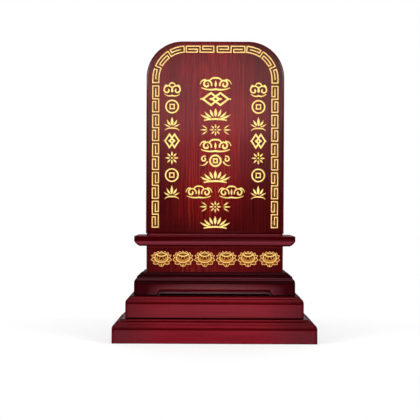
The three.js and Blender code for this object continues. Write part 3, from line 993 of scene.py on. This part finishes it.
def petalOutline():
    # the ring of pointed petals, drawn down the right side and mirrored
    tips, valleys = lotus["tips"], lotus["valleys"]
    points = [tips[0]]
    for last, dip, tip in zip(tips, valleys, tips[1:]):
        for start, end in ((last, dip), (dip, tip)):
            pull = [(a + b) / 2 * 1.05 for a, b in zip(start, end)]
            points += bent(start, pull, end, 3)[1:]
    for pull, end, steps in lotus["lowest"]:
        points += bent(points[-1], pull, end, steps)[1:]
    return points + mirrored(points[-2:0:-1])


def lotusMedallion():
    # the petals' lines, the cup's lines and face, the ground, the recess and its notches
    line, ring, centre = lotus["line"], lotus["ring"], lotus["ringCentre"]
    outline = petalOutline()
    spokes = []
    for across, up in lotus["valleys"][2:]:
        inward = 0.98 / hypot(across / ring[0], (up - centre) / ring[1])
        spokes += stroke([(across, up), (across * inward, centre + (up - centre) * inward)], line * 0.75)
    petals = both(spokes) + stroke(outline, line, True)
    # the cup's rim, the seed pod over it and the garland between the two
    lines = stroke(arc((0, centre), ring, *lotus["ringEnds"], 32), line * 1.1)
    lines += stroke(oval(*lotus["pod"], 24), line, True)
    lines.append(oval(*lotus["foot"], 12))
    hanging = bent(*lotus["garland"])
    lines += stroke(hanging + mirrored(hanging[-2::-1]), line * 1.4)
    cup = [arc((0, centre), ring, 180, 360, 24) + mirrored(hanging) + hanging[-2::-1]]
    notches = [lotus["middleNotch"]] + both(lotus["sideNotches"])
    # fine slits between the petals of the cup
    slits = both([leafShape(*slit) for slit in lotus["slits"]])
    whole, fine = [outline] + petals + lines + cup, lotus["merge"]
    shapes = [united(petals, lines, fine), united(lines, notches, fine)]
    shapes += [united(cup, lines + notches + slits, fine)]
    shapes += [united(whole, notches), united(whole), united(notches)]
    return [([p * lotus["size"] for p in places], faces) for places, faces in shapes]


def slab(whole, shape, backY, thickness, slot):
    # a flat piece of one finish that stands out from backY
    made = shapeMesh(shape, backY)
    thicken(made, made.faces[:], thickness)
    for face in made.faces:
        face.material_index = slot
    pourInto(whole, made)


def waistLotuses():
    recess, leaf, slope, notch = [lotus[key] * mm for key in ("recess", "leaf", "slope", "notch")]
    *raised, ground, hollow, notches = lotusMedallion()
    places = [lotus["centreX"] + (i - (lotus["count"] - 1) / 2) * lotus["pitch"] for i in range(lotus["count"])]
    shifts = [Vector((x, lotus["centreZ"])) for x in places]
    panel = nodes["waist_front_panel"].copy()
    panel.data = panel.data.copy()
    panel.name = "carved_waist_panel"
    panel.parent = None
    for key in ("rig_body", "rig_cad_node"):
        del panel[key]
    bpy.context.scene.collection.objects.link(panel)
    panel.modifiers.clear()
    weldCorners(panel)
    for shape, depth in ((hollow, recess), (notches, notch)):
        row = merged([placed(shape, shift) for shift in shifts])
        carve(panel, grooveCutter([(row, depth, slope, False)], waistFaceY))
    panel.data.attributes.remove(panel.data.attributes["custom_normal"])
    shadeFaces(panel, False)
    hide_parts("waist_front_panel")
    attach(panel, "stand")
    for i, shift in enumerate(shifts):
        made = bmesh.new()
        slab(made, placed(ground, shift), waistFaceY + recess, leaf, 0)
        for slot, (shape, height) in enumerate(zip(raised, lotus["heights"]), 1):
            slab(made, placed(shape, shift), waistFaceY + recess - leaf, height * mm, slot)
        name = f"lotus_gilding_{i + 1}"
        piece = newPiece(name, newMesh(name, made, shadedGold, paleGold, brightGold, cuppedGold))
        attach(piece, "stand")


waistLotuses()
print("waist carved")


# The cut-out under the base: a rolled lip round its edge, and a bead along a dark red lining; the lining stands
# for the recess's shadow, and the lip and the bead are painted with a highlight and a reflection

railLow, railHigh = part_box("base_front_rail")
cutOut = {
    "footLength": 30.5, "rise": 9.0, "endRun": 6.0, "endSwell": 0.7, "depth": 6.0,
    "lip": 0.85, "lipOut": 0.5, "lipRise": 0.2, "lipSink": 0.35,  # its radius, and its place against the edge
    "bead": 1.45, "beadInset": 1.9, "beadRise": 3.8, "beadRun": 4.5, "beadLift": 0.25, "beadOut": 0.2,
    "shadeLining": 0.3, "shadeLiningFoot": 3.05,
}


def archedPath(half, rise, run, lift, count=8):
    # from the right foot over the arch to the left foot
    swell = rise * cutOut["endSwell"]
    corner = [(half, 0), (half - run / 6, swell), (half - run / 2, rise), (half - run, rise)]
    right = []
    for i in range(count + 1):
        t = i / count
        share = [(1 - t) ** 3, 3 * t * (1 - t) ** 2, 3 * t * t * (1 - t), t ** 3]
        across, up = [sum(s * p[k] for s, p in zip(share, corner)) for k in (0, 1)]
        right.append((across, up + railLow.z / mm + lift))
    return right + mirrored(right[::-1])


def roll(made, path, radius, faceY, slot, sides=12):
    # a round bar along a path of x and z
    rings = []
    for i, place in enumerate(path):
        before, after = path[max(i - 1, 0)], path[min(i + 1, len(path) - 1)]
        way = (Vector(after) - Vector(before)).normalized()
        out = Vector((-way.y, way.x))
        ring = []
        for k in range(sides):
            turn = 2 * pi * k / sides
            spot = Vector(place) + out * radius * cos(turn)
            ring.append(made.verts.new((spot.x * mm, faceY + radius * mm * sin(turn), spot.y * mm)))
        rings.append(ring)
    faces = [made.faces.new(rings[0]), made.faces.new(rings[-1][::-1])]
    for near, far in zip(rings, rings[1:]):
        for k in range(sides):
            j = (k + 1) % sides
            faces.append(made.faces.new([near[k], far[k], far[j], near[j]]))
    for face in faces:
        face.material_index = slot
        face.smooth = True


def cutOutTrim():
    foot = railHigh.x / mm - cutOut["footLength"]
    wallY = railLow.y + cutOut["depth"] * mm
    lip, shadeLining = bmesh.new(), bmesh.new()
    out, rise = cutOut["lipOut"], cutOut["rise"]
    edge = archedPath(foot + out, rise + out, cutOut["endRun"], cutOut["lipRise"])[1:-1]
    roll(lip, edge, cutOut["lip"], railLow.y + cutOut["lipSink"] * mm, 0)
    line = archedPath(foot - cutOut["beadInset"], cutOut["beadRise"], cutOut["beadRun"], cutOut["beadLift"])
    roll(shadeLining, line, cutOut["bead"], wallY - cutOut["beadOut"] * mm, 1)
    # a dark red sheet of painted shadow on the recess's wall
    half = foot - cutOut["endRun"] / 2
    low, high = [height + railLow.z / mm for height in (cutOut["shadeLiningFoot"], rise)]
    strip = [(-half, low), (half, low), (half, high), (-half, high)]
    slab(shadeLining, united([strip]), wallY, cutOut["shadeLining"] * mm, 0)
    trims = (("cut_out_lip", lip, lipPaint), ("cut_out_shade_lining", shadeLining, shadeLiningPaint, beadPaint))
    for name, made, *paint in trims:
        piece = newPiece(name, newMesh(name, made, *paint))
        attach(piece, "stand")


cutOutTrim()
print("cut-out trimmed")


# Countersunk screws that hold the back board to the case

screws = {
    "headRadius": 3.6, "domeHeight": 0.9, "domeSteps": 6, "corners": 32, "sink": 1.2, "sharpFrom": 35,
    "slotWidth": 0.9, "slotDepth": 0.7,
    "slotTurns": (25, 47),  # degrees of the first slot, and from one to the next
    "places": [(x, z) for z in (165, 260, 350) for x in (-86, 86)],
}


def screwMesh():
    made = bmesh.new()
    steps, corners, dome = screws["domeSteps"], screws["corners"], screws["domeHeight"]
    profile = [(screws["headRadius"], -screws["sink"])]
    for i in range(steps):
        angle = pi / 2 * i / steps
        profile.append((screws["headRadius"] * cos(angle), dome * sin(angle)))
    rings = []
    for radius, height in profile:
        turns = [2 * pi * k / corners for k in range(corners)]
        places = [(radius * cos(turn) * mm, height * mm, radius * sin(turn) * mm) for turn in turns]
        rings.append([made.verts.new(place) for place in places])
    crown = made.verts.new((0, dome * mm, 0))
    joinRings(made, rings)
    for k in range(corners):
        made.faces.new([rings[-1][k], rings[-1][(k + 1) % corners], crown])
    made.faces.new(rings[0])
    bmesh.ops.recalc_face_normals(made, faces=made.faces)
    return newMesh("screw", made, brass)


def slotCutter(turn):
    made = bmesh.new()
    size = (screws["headRadius"] * 2.4 * mm, screws["slotDepth"] * 2 * mm, screws["slotWidth"] * mm)
    bmesh.ops.create_cube(made, size=1)
    bmesh.ops.scale(made, vec=size, verts=made.verts)
    bmesh.ops.rotate(made, cent=(0, 0, 0), matrix=Matrix.Rotation(turn, 3, "Y"), verts=made.verts)
    bmesh.ops.translate(made, vec=(0, screws["domeHeight"] * mm, 0), verts=made.verts)
    return newPiece("slot", newMesh("slot", made))


def backScrews():
    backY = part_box("back_board")[1].y
    first, step = screws["slotTurns"]
    for i, (x, z) in enumerate(screws["places"]):
        piece = newPiece(f"back_screw_{i + 1}", screwMesh())
        carve(piece, slotCutter(radians(first + step * i)))
        shadeFaces(piece, True)
        piece.data.set_sharp_from_angle(angle=radians(screws["sharpFrom"]))
        piece.location = (x * mm, backY, z * mm)
        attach(piece, "stand")


backScrews()
print("screws set")


# Camera, lamps, floor and background

camera = {
    "lens": 99.6, "sensor": 36, "clip": (0.05, 100),
    "place": (-0.0067, -1.635, 0.1824), "pitch": -0.1, "roll": 0.25,
}
# place, aim, size and watts
lamps = {
    "overhead": ((0.0, -0.90, 1.50), (0, -0.10, 0.0), (2.4, 0.5), 6.5),
    "behind": ((0.0, 1.4, 1.5), (0, 0, 0.2), (1.6, 0.8), 14.4),
    "left": ((-1.9, -1.7, 1.0), (0, 0, 0.2), (0.9, 0.9), 48),
    "right": ((1.9, -1.7, 1.0), (0, 0, 0.2), (0.9, 0.9), 48),
    "low": ((0.0, -4.6, 0.78), (0, 0, 0.3), (3.2, 0.45), 7.2),
    "lowWide": ((0.0, -4.7, 0.86), (0, 0, 0.3), (3.2, 1.05), 8.64),
}
studio = {
    "zenith": 0.65, "horizon": 0.043, "horizonTo": (0.45, 0.9),
    "floor": (0.9, 0.9, 0.9), "floorSize": 30.0,
    "floorDrop": 0.05,  # millimetres under the foot
    "shadowKept": 0.5, "shadowReach": (0.16, 0.42),
    "backdropFrom": (0.0, 0.3), "backdropTop": (0.15, 0.35),
    "sheet": (0.125, 1.5), "sheetEdge": (0.75, 1.25),  # half the white sheet's width and its reach to the front
    "sheetNear": (0.12, 0.55, 0.15),  # its shaded part, from and to, and how bright that is
}
white = (1, 1, 1)


def addCamera():
    data = bpy.data.cameras.new("camera")
    data.lens, data.sensor_width = camera["lens"], camera["sensor"]
    data.clip_start, data.clip_end = camera["clip"]
    piece = newPiece("camera", data)
    piece.location = camera["place"]
    level = Matrix.Rotation(radians(90 + camera["pitch"]), 4, "X")
    piece.rotation_euler = (level @ Matrix.Rotation(radians(camera["roll"]), 4, "Z")).to_euler()
    bpy.context.scene.camera = piece


def addLamps():
    for name, (place, aim, size, watts) in lamps.items():
        data = bpy.data.lights.new(name, "AREA")
        data.shape = "RECTANGLE"
        data.size, data.size_y = size
        data.energy = watts
        piece = newPiece(name, data)
        piece.location = place
        piece.rotation_euler = (Vector(aim) - Vector(place)).to_track_quat("-Z", "Y").to_euler()
        piece.visible_camera = False


def seenBy(tree):
    return [tree.add("LightPath", output=f"Is {ray} Ray") for ray in ("Camera", "Glossy", "Transmission")]


def mixShaders(share, first, second):
    return share.tree.add("MixShader", None, {0: share, 1: first, 2: second})


def addFloor():
    half = studio["floorSize"] / 2
    mesh = bpy.data.meshes.new("floor")
    corners = [(-half, -half, 0), (half, -half, 0), (half, half, 0), (-half, half, 0)]
    mesh.from_pydata(corners, [], [(0, 1, 2, 3)])
    floor = newPiece("floor", mesh)
    floor.location.z = -studio["floorDrop"] * mm
    tree = newTree("floor")
    lit = tree.add("BsdfDiffuse", None, {"Color": studio["floor"]})
    plain, dim = [tree.add("Emission", None, {"Color": white, "Strength": s}) for s in (1.0, studio["horizon"])]
    toCamera, glossy, through = seenBy(tree)
    # the shadow shows near the object, and past it the floor is plain white
    away = lengthOf(coordinates(tree))
    clear = spread(away, *studio["shadowReach"], 1 - studio["shadowKept"], 1.0)
    # in reflections it is a white sheet that runs to the front, and a dim room past that
    wide, far = studio["sheet"]
    reach = lengthOf(mapped(coordinates(tree), (1 / wide, 1 / far, 0)))
    bright = spread(reach, *studio["sheetEdge"], 1.0, 0.0) * spread(away, *studio["sheetNear"])
    surface = mixShaders((toCamera + through) * clear, lit, plain)
    mesh.materials.append(close(mixShaders(glossy, surface, mixShaders(bright, dim, plain))))


def addWorld():
    world = bpy.data.worlds.new("studio")
    bpy.context.scene.world = world
    tree = Tree(world)
    height, depth = [partOf(coordinates(tree, "Generated"), way) for way in "ZY"]
    level = spread(height, *studio["horizonTo"], studio["horizon"], studio["zenith"])
    strengths = (level, 1.0, studio["horizon"])
    room, plain, dim = [tree.add("Background", None, {"Color": white, "Strength": s}) for s in strengths]
    # a white backdrop behind the object, and a dim room in reflections
    back = spread(depth, *studio["backdropFrom"]) * spread(height, *studio["backdropTop"], 1.0, 0.0)
    toCamera, glossy, through = seenBy(tree)
    surface = mixShaders(toCamera + through + glossy * back, mixShaders(glossy, room, dim), plain)
    tree.add("OutputWorld", None, {"Surface": surface})


addCamera()
addLamps()
addFloor()
addWorld()
bpy.context.scene.view_settings.view_transform = "Standard"
print("stage set")
